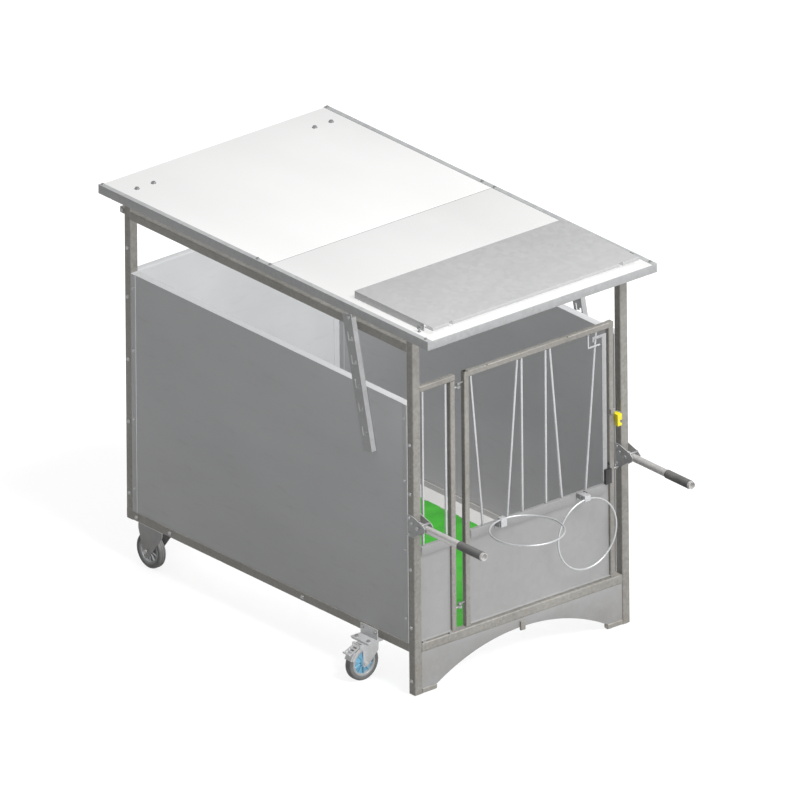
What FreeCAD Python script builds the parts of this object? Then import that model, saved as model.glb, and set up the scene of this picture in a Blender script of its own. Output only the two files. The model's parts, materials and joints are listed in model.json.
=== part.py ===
import FreeCAD, Part
import math
import os
import Sketcher

# Mobile single-calf box: a tubular frame on wheels with insulated wall boards, a hinged roof with a
# sliding weather visor, a slatted floor, a fixed front panel and a gate with feed bars and bucket rings.
# Frame of the part: +X to the right seen from the front, +Y to the rear, +Z up, floor at Z = 0,
# origin under the centre of the bounding box.

os.makedirs("parts", exist_ok=True)
doc = FreeCAD.newDocument("CalfBox")
sheet = doc.addObject("Spreadsheet::Sheet", "Sizes")

SIZES = {
    # overall frame
    "overall_width": 1150, "overall_length": 1850, "post_height": 1608, "post_size": 40,
    "tube_wall": 3, "corner_radius": 5.5, "floor_clearance": 8, "rail_underside": 184,
    "top_rail_underside": 1529,
    # roof
    "roof_underside": 1610, "roof_thickness": 40, "roof_side_overhang": 38, "roof_front_overhang": 146,
    "roof_rear_overhang": 118, "roof_joint": 890, "channel_lip": 23, "sheet_metal": 2.5,
    "roof_hinge_behind": 12, "roof_hinge_height": 1559,
    # walls and floor
    "wall_top": 1292, "board_thickness": 36, "edge_profile_depth": 28, "edge_profile_wall": 2,
    "floor_top": 200, "floor_thickness": 40, "side_strip_width": 90, "floor_gap": 0.5,
    # front: fixed panel and gate
    "gate_tube": 25, "gate_tube_wall": 2, "front_setback": 2, "panel_right": 347, "panel_top": 1375,
    "gate_left": 297, "gate_side_gap": 35, "gate_bottom_gap": 6, "gate_top": 1372, "mid_rail_top": 655,
    "mid_rail_height": 37, "mid_rail_depth": 22, "bar_diameter": 11, "plate_thickness": 2,
    "plate_gap": 12, "hinge_upper": 1312, "hinge_lower": 324, "hinge_pin_diameter": 10,
    "running_clearance": 0.05,
    # apron
    "apron_peak": 145, "apron_radius": 900, "foot_length": 78, "foot_height": 22, "foot_depth": 25,
    # bucket rings
    "ring_radius": 155, "ring_rod": 8, "ring_left": 125, "ring_right": 311, "ring_axis_front": 23,
    "ring_axis_height": 652, "ring_reach": 163.5, "ring_rise": 24,
    # latch
    "latch_bar_width": 23, "latch_bar_setback": 62, "latch_bolt_diameter": 8, "latch_bolt_height": 706,
    # handles
    "handle_diameter": 33, "handle_wall": 2.6, "handle_reach": 430, "handle_height": 762,
    "handle_pivot_front": 28, "grip_diameter": 38, "grip_length": 146, "grip_setback": 13,
    # visor
    "visor_inset": 61, "visor_length": 501, "visor_front": 105, "visor_top": 1682,
    "visor_flange": 31.7, "visor_hem": 14, "visor_lip": 55,
    # roof stays
    "stay_length": 590, "stay_width": 57, "stay_flange": 24.5, "stay_sheet": 3, "stay_pivot_back": 375,
    "stay_pivot_height": 1583, "stay_lean": 12.6, "stay_notch": 12, "stay_pin": 8, "stay_pin_drop": 35,
    "stay_first_notch": 96, "stay_notch_pitch": 101.2, "stay_left_gap": 25, "stay_right_gap": 5,
    # wheels
    "wheel_radius": 78, "wheel_width": 36, "tyre_depth": 19, "axle_diameter": 12,
    "rear_wheel_back": 1727, "castor_back": 290, "castor_outset": 13, "castor_trail": 30,
}
for row, (alias, size) in enumerate(SIZES.items(), start=1):
    sheet.set(f"A{row}", alias)
    sheet.set(f"B{row}", str(size))
    sheet.setAlias(f"B{row}", alias)
doc.recompute()


class Dim:
    """A length with its expression on the sheet and its present value."""

    def __init__(self, text, value):
        self.text = text
        self.value = float(value)

    def _join(self, sign, other, swap=False):
        other = dim(other)
        left, right = (other, self) if swap else (self, other)
        results = {
            "+": lambda p, q: p + q,
            "-": lambda p, q: p - q,
            "*": lambda p, q: p * q,
            "/": lambda p, q: p / q,
        }
        return Dim(f"({left.text} {sign} {right.text})", results[sign](left.value, right.value))

    def __add__(self, other):
        return self._join("+", other)

    def __radd__(self, other):
        return self._join("+", other, True)

    def __sub__(self, other):
        return self._join("-", other)

    def __rsub__(self, other):
        return self._join("-", other, True)

    def __mul__(self, other):
        return self._join("*", other)

    def __rmul__(self, other):
        return self._join("*", other, True)

    def __truediv__(self, other):
        return self._join("/", other)

    def __neg__(self):
        return self._join("*", -1)


def dim(value):
    return value if isinstance(value, Dim) else Dim(f"{float(value):.6f}", value)


class Sheet:
    """Sizes by name, each as a Dim bound to its cell."""

    def __getattr__(self, name):
        return Dim(f"Sizes.{name}", SIZES[name])


S = Sheet()
# The part's origin: the middle of the bounding box from the handle ends to the roof's rear edge.
ORIGIN_BACK = (S.overall_length + S.roof_rear_overhang - S.handle_reach) / 2
HALF = S.overall_width / 2
INNER = HALF - S.post_size
AXES = {
    "x": (FreeCAD.Vector(0, 1, 0), 90),
    "y": (FreeCAD.Vector(1, 0, 0), -90),
    "z": (FreeCAD.Vector(0, 0, 1), 0),
}
count = 0


def fresh(kind):
    global count
    count += 1
    return doc.addObject(kind, f"{kind.split('::')[1]}_{count:03d}")


def put(item, x, y, z):
    """Moves an object to a place measured from the front face and the foot of the front posts."""
    item.setExpression("Placement.Base.x", dim(x).text)
    item.setExpression("Placement.Base.y", (dim(y) - ORIGIN_BACK).text)
    item.setExpression("Placement.Base.z", (dim(z) + S.floor_clearance).text)
    return item


def block(x0, x1, y0, y1, z0, z1):
    """A box between two corners."""
    item = fresh("Part::Box")
    item.setExpression("Length", (dim(x1) - x0).text)
    item.setExpression("Width", (dim(y1) - y0).text)
    item.setExpression("Height", (dim(z1) - z0).text)
    return put(item, x0, y0, z0)


def rod(radius, length, axis, x, y, z):
    """A cylinder that starts at a point and runs along +axis."""
    item = fresh("Part::Cylinder")
    item.setExpression("Radius", dim(radius).text)
    item.setExpression("Height", dim(length).text)
    turn, angle = AXES[axis]
    item.Placement = FreeCAD.Placement(FreeCAD.Vector(0, 0, 0), FreeCAD.Rotation(turn, angle))
    return put(item, x, y, z)


def hexagon(across, length, axis, x, y, z):
    """A hexagonal prism that starts at a point and runs along +axis."""
    item = fresh("Part::Prism")
    item.Polygon = 6
    item.setExpression("Circumradius", (dim(across) / math.sqrt(3)).text)
    item.setExpression("Height", dim(length).text)
    turn, angle = AXES[axis]
    item.Placement = FreeCAD.Placement(FreeCAD.Vector(0, 0, 0), FreeCAD.Rotation(turn, angle))
    return put(item, x, y, z)


def fuse(items):
    item = fresh("Part::MultiFuse")
    item.Shapes = items
    item.Refine = True
    return item


def cut(base, tools):
    tools = tools if isinstance(tools, list) else [tools]
    item = fresh("Part::Cut")
    item.Base = base
    item.Tool = tools[0] if len(tools) == 1 else fuse(tools)
    return item


def rounded(base, edges, radius):
    item = fresh("Part::Fillet")
    item.Base = base
    item.Edges = [(edge, radius, radius) for edge in edges]
    return item


# Edge numbers of a box that run along each axis.
ALONG = {"x": (9, 10, 11, 12), "y": (2, 4, 6, 8), "z": (1, 3, 5, 7)}


def tube(x0, x1, y0, y1, z0, z1, axis, wall, radius):
    """A square hollow section with rounded outer corners, open at its ends."""
    outer = rounded(block(x0, x1, y0, y1, z0, z1), ALONG[axis], radius)
    gap = {a: (0 if a == axis else wall) for a in "xyz"}
    end = {a: (1 if a == axis else 0) for a in "xyz"}
    inner = block(
        dim(x0) + gap["x"] - end["x"], dim(x1) - gap["x"] + end["x"],
        dim(y0) + gap["y"] - end["y"], dim(y1) - gap["y"] + end["y"],
        dim(z0) + gap["z"] - end["z"], dim(z1) - gap["z"] + end["z"],
    )
    return cut(outer, inner)


def profile(points, role, length, x, y, z, reverse=False):
    """A closed outline drawn on an origin plane and padded. YZ pads along +X, XZ along -Y, XY along +Z."""
    body = fresh("PartDesign::Body")
    sketch = body.newObject("Sketcher::SketchObject", f"{body.Name}_outline")
    plane = next(f for f in body.Origin.OriginFeatures if f.Role == role)
    sketch.AttachmentSupport = (plane, [""])
    sketch.MapMode = "FlatFace"
    corners = [(dim(u), dim(v)) for u, v in points]
    spots = [FreeCAD.Vector(u.value, v.value, 0) for u, v in corners]
    last = len(corners)
    for n in range(last):
        sketch.addGeometry(Part.LineSegment(spots[n], spots[(n + 1) % last]), False)
    for n in range(last):
        sketch.addConstraint(Sketcher.Constraint("Coincident", n, 2, (n + 1) % last, 1))
    for n, (u, v) in enumerate(corners):
        for kind, size in (("DistanceX", u), ("DistanceY", v)):
            index = sketch.addConstraint(Sketcher.Constraint(kind, -1, 1, n, 1, size.value))
            sketch.setExpression(f"Constraints[{index}]", size.text)
    pad = body.newObject("PartDesign::Pad", f"{body.Name}_pad")
    pad.Profile = sketch
    pad.setExpression("Length", dim(length).text)
    pad.Reversed = reverse
    body.Tip = pad
    return put(body, x, y, z)


NODES = []


def node(name, items):
    """Names a sub-part. Several separate solids become one group."""
    items = items if isinstance(items, list) else [items]
    if len(items) == 1:
        item = items[0]
    else:
        item = fresh("Part::Compound")
        item.Links = items
    item.Label = name
    NODES.append(item)
    return item


def bolt(axis, side, x, y, z, across=13, head=6):
    """A hexagon head on its washer, which sits on a face at a point and stands out towards side."""
    washer = 1.5
    start = {"x": x, "y": y, "z": z}
    far = dict(start)
    if side < 0:
        start[axis] = dim(start[axis]) - washer
        far[axis] = dim(far[axis]) - washer - head
    else:
        far[axis] = dim(far[axis]) + washer
    disc = rod(across * 0.72, washer, axis, start["x"], start["y"], start["z"])
    top = hexagon(across, head, axis, far["x"], far["y"], far["z"])
    return fuse([disc, top])


RADIUS = SIZES["corner_radius"]
SMALL = 4.5
SIDES = (-1, 1)


def span(side, near, far):
    """Sorted X limits of something that lies between two distances from the middle on one side."""
    return (-dim(far), -dim(near)) if side < 0 else (dim(near), dim(far))


# ---------------------------------------------------------------- frame posts and rails
front_posts = []
rear_posts = []
for side in SIDES:
    x0, x1 = span(side, INNER, HALF)
    front_posts.append(tube(x0, x1, 0, S.post_size, 0, S.post_height, "z", S.tube_wall, RADIUS))
    back = S.overall_length
    post = tube(x0, x1, back - S.post_size, back, S.rail_underside, S.post_height, "z", S.tube_wall, RADIUS)
    # Sleeve behind the post that carries the roof's hinge bolt.
    sleeve = block(x0, x1, back, back + 25, S.roof_hinge_height - 13, S.roof_hinge_height + 13)
    hinge_back = back + S.roof_hinge_behind
    bore = rod(5 + S.running_clearance, S.post_size + 2, "x", x0 - 1, hinge_back, S.roof_hinge_height)
    rear_posts.append(fuse([post, cut(sleeve, bore)]))
node("front_posts", front_posts)
node("rear_posts", rear_posts)


def side_rail(side, z0):
    x0, x1 = span(side, INNER, HALF)
    y1 = S.overall_length - S.post_size
    return tube(x0, x1, S.post_size, y1, z0, z0 + S.post_size, "y", S.tube_wall, RADIUS)


node("side_top_rails", [side_rail(side, S.top_rail_underside) for side in SIDES])
node("side_bottom_rails", [side_rail(side, S.rail_underside) for side in SIDES])
RAIL_TOP = S.rail_underside + S.post_size
BACK = S.overall_length


def cross_rail(y0, y1):
    """A bottom rail from post to post."""
    return tube(-INNER, INNER, y0, y1, S.rail_underside, RAIL_TOP, "x", S.tube_wall, RADIUS)


node("bottom_rail_front", cross_rail(0, S.post_size))
node("bottom_rail_rear", cross_rail(BACK - S.post_size, BACK))

# ---------------------------------------------------------------- arched apron, its feet and its clip
apron_sheet = block(-INNER, INNER, 3, 6, S.foot_height, S.rail_underside)
arch = rod(S.apron_radius, 20, "y", 0, -5, S.apron_peak - S.apron_radius)
node("front_apron", cut(apron_sheet, arch))
feet = []
for side in SIDES:
    x0, x1 = span(side, INNER - S.foot_length, INNER)
    feet.append(tube(x0, x1, 0, S.foot_depth, 0, S.foot_height, "x", 2.5, SMALL))
feet.append(block(-12, 12, -6, 3, S.apron_peak - 12, S.rail_underside - 12))
node("apron_feet", feet)

# ---------------------------------------------------------------- wall boards in their edge profiles
BOARD0 = (S.post_size - S.board_thickness) / 2
for side, name in ((-1, "side_wall_left"), (1, "side_wall_right")):
    x0, x1 = span(side, INNER + BOARD0, HALF - BOARD0)
    y0 = S.post_size + S.edge_profile_wall
    y1 = BACK - S.post_size - S.edge_profile_wall
    node(name, block(x0, x1, y0, y1, RAIL_TOP, S.wall_top))
node(
    "rear_wall",
    block(
        -INNER + S.edge_profile_wall, INNER - S.edge_profile_wall,
        BACK - S.post_size + BOARD0, BACK - BOARD0, RAIL_TOP, S.wall_top,
    ),
)
edge_profiles = []
width = S.post_size
wall = S.edge_profile_wall
depth = S.edge_profile_depth


def edge_outline(along, mirror):
    """A U section, open towards the board it grips."""
    points = [
        (0, 0), (width, 0), (width, depth), (width - wall, depth),
        (width - wall, wall), (wall, wall), (wall, depth), (0, depth),
    ]
    if mirror:
        points = [(u, depth - v) for u, v in points]
    return points if along == "y" else [(v, u) for u, v in points]


tall = S.wall_top - RAIL_TOP
for side in SIDES:
    x0, x1 = span(side, INNER, HALF)
    edge_profiles.append(profile(edge_outline("y", False), "XY_Plane", tall, x0, S.post_size, RAIL_TOP))
    edge_profiles.append(
        profile(edge_outline("y", True), "XY_Plane", tall, x0, BACK - S.post_size - depth, RAIL_TOP)
    )
for x0, mirror in ((-INNER, False), (INNER - depth, True)):
    corner = edge_outline("x", mirror)
    edge_profiles.append(profile(corner, "XY_Plane", tall, x0, BACK - S.post_size, RAIL_TOP))
node("wall_edge_profiles", edge_profiles)

# ---------------------------------------------------------------- slatted floor on folded side profiles
FLOOR_HALF = INNER - S.side_strip_width
strip_sheet = 3
shelf = 40
ledge = []
for side in SIDES:
    low = S.floor_top - S.floor_thickness - strip_sheet
    outline = [
        (0, RAIL_TOP - 2), (0, S.floor_top - strip_sheet * 2),
        (S.side_strip_width - strip_sheet, S.floor_top - strip_sheet * 2),
        (S.side_strip_width - strip_sheet, low), (S.side_strip_width + shelf, low),
        (S.side_strip_width + shelf, low + strip_sheet), (S.side_strip_width, low + strip_sheet),
        (S.side_strip_width, S.floor_top - strip_sheet), (strip_sheet, S.floor_top - strip_sheet),
        (strip_sheet, RAIL_TOP - 2),
    ]
    if side > 0:
        outline = [(-u, v) for u, v in outline]
    x0 = -INNER if side < 0 else INNER
    run = BACK - 2 * S.post_size
    ledge.append(profile(outline, "XZ_Plane", run, x0, S.post_size, 0, True))
node("floor_side_profiles", ledge)

floor_items = []
floor_count = 3
floor_run = (BACK - 2 * S.post_size) / floor_count
notch_count = 5
for n in range(floor_count):
    y0 = S.post_size + floor_run * n + S.floor_gap
    y1 = S.post_size + floor_run * (n + 1) - S.floor_gap
    slab = block(
        -FLOOR_HALF + S.floor_gap, FLOOR_HALF - S.floor_gap, y0, y1,
        S.floor_top - S.floor_thickness, S.floor_top,
    )
    # Finger notches along both side edges of the element.
    notches = []
    pitch = floor_run / notch_count
    for row in range(notch_count):
        for side in SIDES:
            x0, x1 = span(side, FLOOR_HALF - 9, FLOOR_HALF + 5)
            y_notch = y0 + pitch * (row + 0.5)
            notches.append(block(x0, x1, y_notch - 16, y_notch + 16, S.floor_top - 60, S.floor_top + 5))
    floor_items.append(cut(slab, notches))
node("floor_panels", floor_items)

# ---------------------------------------------------------------- fixed front panel
Y0 = S.front_setback
Y1 = Y0 + S.gate_tube
MID = (Y0 + Y1) / 2
PANEL_L = -INNER
PANEL_R = -S.panel_right
PANEL_UNDER = S.panel_top - S.gate_tube
top_tube = tube(PANEL_L, PANEL_R, Y0, Y1, PANEL_UNDER, S.panel_top, "x", S.gate_tube_wall, SMALL)
right_tube = tube(
    PANEL_R - S.gate_tube, PANEL_R, Y0, Y1, RAIL_TOP, PANEL_UNDER, "z", S.gate_tube_wall, SMALL
)
node("fixed_panel_frame", fuse([top_tube, right_tube]))
BAR = S.bar_diameter / 2
bar_places = (-INNER + 22, -S.panel_right - 43)
bar_run = PANEL_UNDER - S.mid_rail_top
node("fixed_panel_bars", [rod(BAR, bar_run, "z", x, MID, S.mid_rail_top) for x in bar_places])


def mid_rail(x0, x1):
    """A folded section, open below, that caps the lower plate and carries the bars."""
    t = S.plate_thickness
    high = S.mid_rail_height
    deep = S.mid_rail_depth
    outline = [
        (0, 0), (t, 0), (t, high - t), (deep - t, high - t),
        (deep - t, 12), (deep, 12), (deep, high), (0, high),
    ]
    return profile(outline, "YZ_Plane", x1 - x0, x0, -2, S.mid_rail_top - high)


def lower_plate(x0, x1, z0):
    """A sheet with its foot folded to the front."""
    t = S.plate_thickness
    high = S.mid_rail_top - S.plate_thickness - z0
    outline = [(0, 0), (13, 0), (13, high), (13 - t, high), (13 - t, t), (0, t)]
    return profile(outline, "YZ_Plane", x1 - x0, x0, Y0, z0)


node("fixed_panel_mid_rail", mid_rail(PANEL_L + 1, PANEL_R - S.gate_tube))
node("fixed_panel_plate", lower_plate(PANEL_L, PANEL_R - S.gate_tube, RAIL_TOP + 8))

# ---------------------------------------------------------------- gate
GL = -S.gate_left
GR = INNER - S.gate_side_gap
GB = RAIL_TOP + S.gate_bottom_gap
outer = [
    rounded(block(GL, GL + S.gate_tube, Y0, Y1, GB, S.gate_top), ALONG["z"], SMALL),
    rounded(block(GR - S.gate_tube, GR, Y0, Y1, GB, S.gate_top), ALONG["z"], SMALL),
    rounded(block(GL + 5, GR, Y0, Y1, S.gate_top - S.gate_tube, S.gate_top), ALONG["x"], SMALL),
    # Lug in front of the right tube, above the yellow catch.
    block(GR - 24, GR - 4, Y0 - 9, Y0 + 1, 962, 984),
]
w = S.gate_tube_wall
inner = [
    block(GL + w, GL + S.gate_tube - w, Y0 + w, Y1 - w, GB - 1, S.gate_top + 1),
    block(GR - S.gate_tube + w, GR - w, Y0 + w, Y1 - w, GB - 1, S.gate_top - w),
    block(GL + w, GR - w, Y0 + w, Y1 - w, S.gate_top - S.gate_tube + w, S.gate_top - w),
]
bolt_bore = rod(
    S.latch_bolt_diameter / 2 + S.running_clearance, S.gate_tube + 4, "x",
    GR - S.gate_tube - 2, MID, S.latch_bolt_height,
)
notches = [block(x, x + 8, Y0 - 1, Y0 + 8, S.gate_top - 5, S.gate_top + 1) for x in (-178, 252)]
node("gate_frame", cut(fuse(outer), inner + [bolt_bore] + notches))

# Feed bars: pairs that spread upwards leave the head openings, single bars close the rest.
BARS = ((-256, -195), (-6, -65), (17, 17), (145, 143), (168, 227), (415, 354))
gate_bars = []
z_low = SIZES["mid_rail_top"]
z_high = SIZES["gate_top"] - SIZES["gate_tube"]
for x_top, x_low in BARS:
    slope = math.atan2(x_top - x_low, z_high - z_low)
    item = fresh("Part::Cylinder")
    item.setExpression("Radius", BAR.text)
    run = (z_high - z_low) / math.cos(slope) + 2 * abs(math.tan(slope)) * SIZES["bar_diameter"]
    item.Height = run
    item.Placement = FreeCAD.Placement(
        FreeCAD.Vector(0, 0, 0), FreeCAD.Rotation(FreeCAD.Vector(0, 1, 0), math.degrees(slope))
    )
    start = abs(math.tan(slope)) * SIZES["bar_diameter"]
    put(item, x_low - start * math.sin(slope), MID, S.mid_rail_top - start * math.cos(slope))
    keep = block(-S.gate_left, GR, Y0, Y1, S.mid_rail_top, S.gate_top - S.gate_tube)
    common = fresh("Part::MultiCommon")
    common.Shapes = [item, keep]
    gate_bars.append(common)
node("gate_mid_rail", mid_rail(GL + S.gate_tube + 1, GR - 48))
node("gate_plate", lower_plate(GL + S.gate_tube, GR - S.gate_tube, RAIL_TOP + S.plate_gap))

# Hinges: eye bolts on the fixed panel, pins on the gate.
HX = -(S.panel_right + S.gate_left) / 2
eyes = []
pins = []
for height in (S.hinge_upper, S.hinge_lower):
    eye = fuse([
        rod(10, 10, "z", HX, MID, height - 5),
        rod(4, S.panel_right + HX - 6, "x", PANEL_R, MID, height),
    ])
    eyes.append(cut(eye, rod(S.hinge_pin_diameter / 2 + S.running_clearance, 14, "z", HX, MID, height - 7)))
    pin = rod(S.hinge_pin_diameter / 2, 27, "z", HX, MID, height - 8)
    arm = rod(4, GL - HX, "x", HX, MID, height + 14)
    collar = rod(8, 8, "z", HX, MID, height + 10)
    pins.append(fuse([pin, arm, collar]))
node("gate_hinge_eyes", eyes)
node("gate_hinge_pins", pins)

# ---------------------------------------------------------------- bucket rings
AY = -S.ring_axis_front
AZ = S.ring_axis_height
ears = []
for x in (-S.ring_left, S.ring_right):
    plate = block(x - 21, x + 21, -5, -2, AZ - 24, AZ + 3)
    left_ear = block(x - 21, x - 18, AY - 8, -2, AZ - 10, AZ + 10)
    right_ear = block(x + 18, x + 21, AY - 8, -2, AZ - 10, AZ + 10)
    pin = rod(4, 42, "x", x - 21, AY, AZ)
    ears.append(fuse([plate, left_ear, right_ear, pin]))
node("bucket_ring_hangers", ears)


def ring_parts(x, hanging):
    """A round rod ring held by a block that turns on the hanger's pin."""
    ring = fresh("Part::Torus")
    ring.setExpression("Radius1", S.ring_radius.text)
    ring.setExpression("Radius2", (S.ring_rod / 2).text)
    if hanging:
        upright = FreeCAD.Rotation(FreeCAD.Vector(1, 0, 0), 90)
        ring.Placement = FreeCAD.Placement(FreeCAD.Vector(0, 0, 0), upright)
        put(ring, x, AY - S.ring_rise, AZ - S.ring_reach)
        body = block(x - 15, x + 15, AY - 30, AY + 9, AZ - 16, AZ + 9)
    else:
        put(ring, x, AY - S.ring_reach, AZ + S.ring_rise)
        body = block(x - 15, x + 15, AY - 16, AY + 9, AZ - 9, AZ + 30)
    bore = rod(4 + S.running_clearance, 34, "x", x - 17, AY, AZ)
    return cut(fuse([ring, body]), bore)


node("bucket_ring_left", ring_parts(-S.ring_left, False))
node("bucket_ring_right", ring_parts(S.ring_right, True))

# ---------------------------------------------------------------- gate latch
LX = GR - S.latch_bar_setback
bar = fuse([
    block(LX, LX + S.latch_bar_width, Y0 + 0.5, Y0 + 4.5, S.mid_rail_top + 15, 1330),
    block(LX - 50, LX + 2, Y0 + 0.5, Y0 + 4.5, 1318, 1330),
    block(LX - 50, LX - 42, Y0 + 0.5, Y0 + 4.5, 1308, 1320),
])
node("latch_bar", bar)
# Bent grip rod welded under the top tube, against which the latch bar's arm is squeezed.
grip_ball = fresh("Part::Sphere")
grip_ball.setExpression("Radius", dim(4).text)
put(grip_ball, LX - 72, MID - 10, 1288)
gate_bars.append(fuse([
    rod(4, S.gate_top - S.gate_tube - 1288, "z", LX - 72, MID - 10, 1288),
    rod(4, 62, "x", LX - 72, MID - 10, 1288),
    grip_ball,
]))
node("gate_bars", gate_bars)
BOLT = S.latch_bolt_diameter / 2
case = fuse([
    block(LX + S.latch_bar_width + 0.3, GR - S.gate_tube, Y0, Y0 + 22, 676, 735),
    block(LX + 5, GR - S.gate_tube, Y0 - 13, Y0 + 0.2, 657, 722),
    block(LX + S.latch_bar_width + 0.3, GR - S.gate_tube, Y0 - 1, Y0 + 1, 676, 722),
])
bolt_way = rod(BOLT + S.running_clearance, 20, "x", LX + S.latch_bar_width, MID, S.latch_bolt_height)
node("latch_housing", cut(case, bolt_way))
node("latch_bolt", fuse([
    rod(BOLT, 67, "x", LX + S.latch_bar_width + 2, MID, S.latch_bolt_height),
    rod(8, 4, "x", GR + 13.5, MID, S.latch_bolt_height),
]))

# Yellow thumb catch on the right post.
catch_z = 905
catch_pin = fuse([
    block(INNER - 10, INNER, 3, 22, catch_z, catch_z + 52),
    rod(3, 15, "x", INNER - 25, 8, catch_z + 38),
])
node("gate_catch_base", catch_pin)
hook = fuse([
    block(INNER - 33.5, INNER - 10.5, -19, 1, catch_z, catch_z + 52),
    block(INNER - 33.5, INNER - 10.5, 0, 17, catch_z + 20, catch_z + 52),
])
finger_slot = block(INNER - 28, INNER - 9, -21, -7, catch_z + 9, catch_z + 25)
catch_bore = rod(3 + S.running_clearance, 17, "x", INNER - 25.5, 8, catch_z + 38)
node("gate_catch_hook", cut(hook, [finger_slot, catch_bore]))

# ---------------------------------------------------------------- carrying handles
brackets = []
plate_sheet = 3
HZ = S.handle_height
for side in SIDES:
    outline = [
        (36, HZ + 44), (12, HZ + 44), (-58, HZ + 24), (-74, HZ + 12), (-70, HZ - 10),
        (-34, HZ - 26), (2, HZ - 53), (36, HZ - 53),
    ]
    for near in (HALF, INNER - plate_sheet):
        x0 = near if side > 0 else -near - plate_sheet
        hole = rod(5 + S.running_clearance, 9, "x", x0 - 3, -S.handle_pivot_front, HZ)
        stop_hole = rod(5 + S.running_clearance, 9, "x", x0 - 3, -54, HZ + 16.8 + 5)
        brackets.append(cut(profile(outline, "YZ_Plane", plate_sheet, x0, 0, 0), [hole, stop_hole]))
node("handle_brackets", brackets)

for side, name in ((-1, "left"), (1, "right")):
    centre = side * (HALF - S.post_size / 2)
    y_end = -S.handle_reach
    length = S.handle_reach - 12
    outer_tube = rod(S.handle_diameter / 2, length, "y", centre, y_end, HZ)
    inner_tube = rod(S.handle_diameter / 2 - S.handle_wall, length + 2, "y", centre, y_end - 1, HZ)
    cross = rod(5 + S.running_clearance, 60, "x", centre - 30, -S.handle_pivot_front, HZ)
    node(f"handle_{name}", cut(outer_tube, [inner_tube, cross]))
    y_grip = y_end + S.grip_setback
    grip = rod(S.grip_diameter / 2, S.grip_length, "y", centre, y_grip, HZ)
    sleeve = rod(S.handle_diameter / 2 + S.running_clearance, S.grip_length + 2, "y", centre, y_grip - 1, HZ)
    node(f"handle_grip_{name}", cut(rounded(grip, (1, 3), 2.0), sleeve))

# ---------------------------------------------------------------- roof
RH = HALF + S.roof_side_overhang
RZ0 = S.roof_underside
RZ1 = S.roof_underside + S.roof_thickness
RF = -S.roof_front_overhang
RB = BACK + S.roof_rear_overhang
t = S.sheet_metal
node("roof_panel_front", block(-RH + t, RH - t, RF + t, S.roof_joint - 0.3, RZ0 + t, RZ1 - t))
node("roof_panel_rear", block(-RH + t, RH - t, S.roof_joint + 0.3, RB, RZ0 + t, RZ1 - t))
channels = []
lip = S.channel_lip
for side in SIDES:
    outline = [
        (0, 0), (lip, 0), (lip, t), (t, t), (t, S.roof_thickness - t), (lip, S.roof_thickness - t),
        (lip, S.roof_thickness), (0, S.roof_thickness),
    ]
    if side > 0:
        outline = [(-u, v) for u, v in outline]
    channels.append(profile(outline, "XZ_Plane", RB - RF - t, side * RH, RF + t, RZ0, True))
node("roof_side_channels", channels)
fascia_top = S.roof_thickness - t
fascia = [(0, 0), (24, 0), (24, t), (t, t), (t, fascia_top), (0, fascia_top)]
middle = profile(fascia, "YZ_Plane", 2 * (RH - lip), -RH + lip, RF, RZ0)
ends = [block(x0, x1, RF, RF + t, RZ0, RZ1) for x0, x1 in (span(-1, RH - lip, RH), span(1, RH - lip, RH))]
node("roof_front_fascia", fuse([middle] + ends))

# Outer face of each stay's notched plate. Both stays are the same part, so the right one isn't mirrored.
stay_plate = {-1: -HALF - S.stay_left_gap, 1: HALF + S.stay_right_gap}

# Hinge straps under the rear of the roof.
straps = []
HY = BACK + S.roof_hinge_behind
for side in SIDES:
    x0, x1 = span(side, INNER - 130, INNER - 5)
    flat = block(x0, x1, BACK - 36, BACK + 40, RZ0 - 2, RZ0 + t)
    u0, u1 = span(side, INNER - 11, INNER - 5)
    drop = block(u0, u1, HY - 10, HY + 12, S.roof_hinge_height, RZ0 - 2)
    nose = rod(10, 6, "x", u0, HY, S.roof_hinge_height)
    bore = rod(5 + S.running_clearance, 10, "x", u0 - 2, HY, S.roof_hinge_height)
    straps.append(cut(fuse([flat, drop, nose]), bore))
    # Tab that carries the roof stay, beside the stay's plate.
    v0 = stay_plate[side] + S.stay_sheet + 0.5
    v1 = v0 + 4
    tab = block(v0, v1, S.stay_pivot_back - 8, S.stay_pivot_back + 8, S.stay_pivot_height - 7, RZ0)
    bore = rod(4 + S.running_clearance, 8, "x", v0 - 2, S.stay_pivot_back, S.stay_pivot_height)
    straps.append(cut(tab, bore))
node("roof_hinge_straps", straps)

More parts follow.
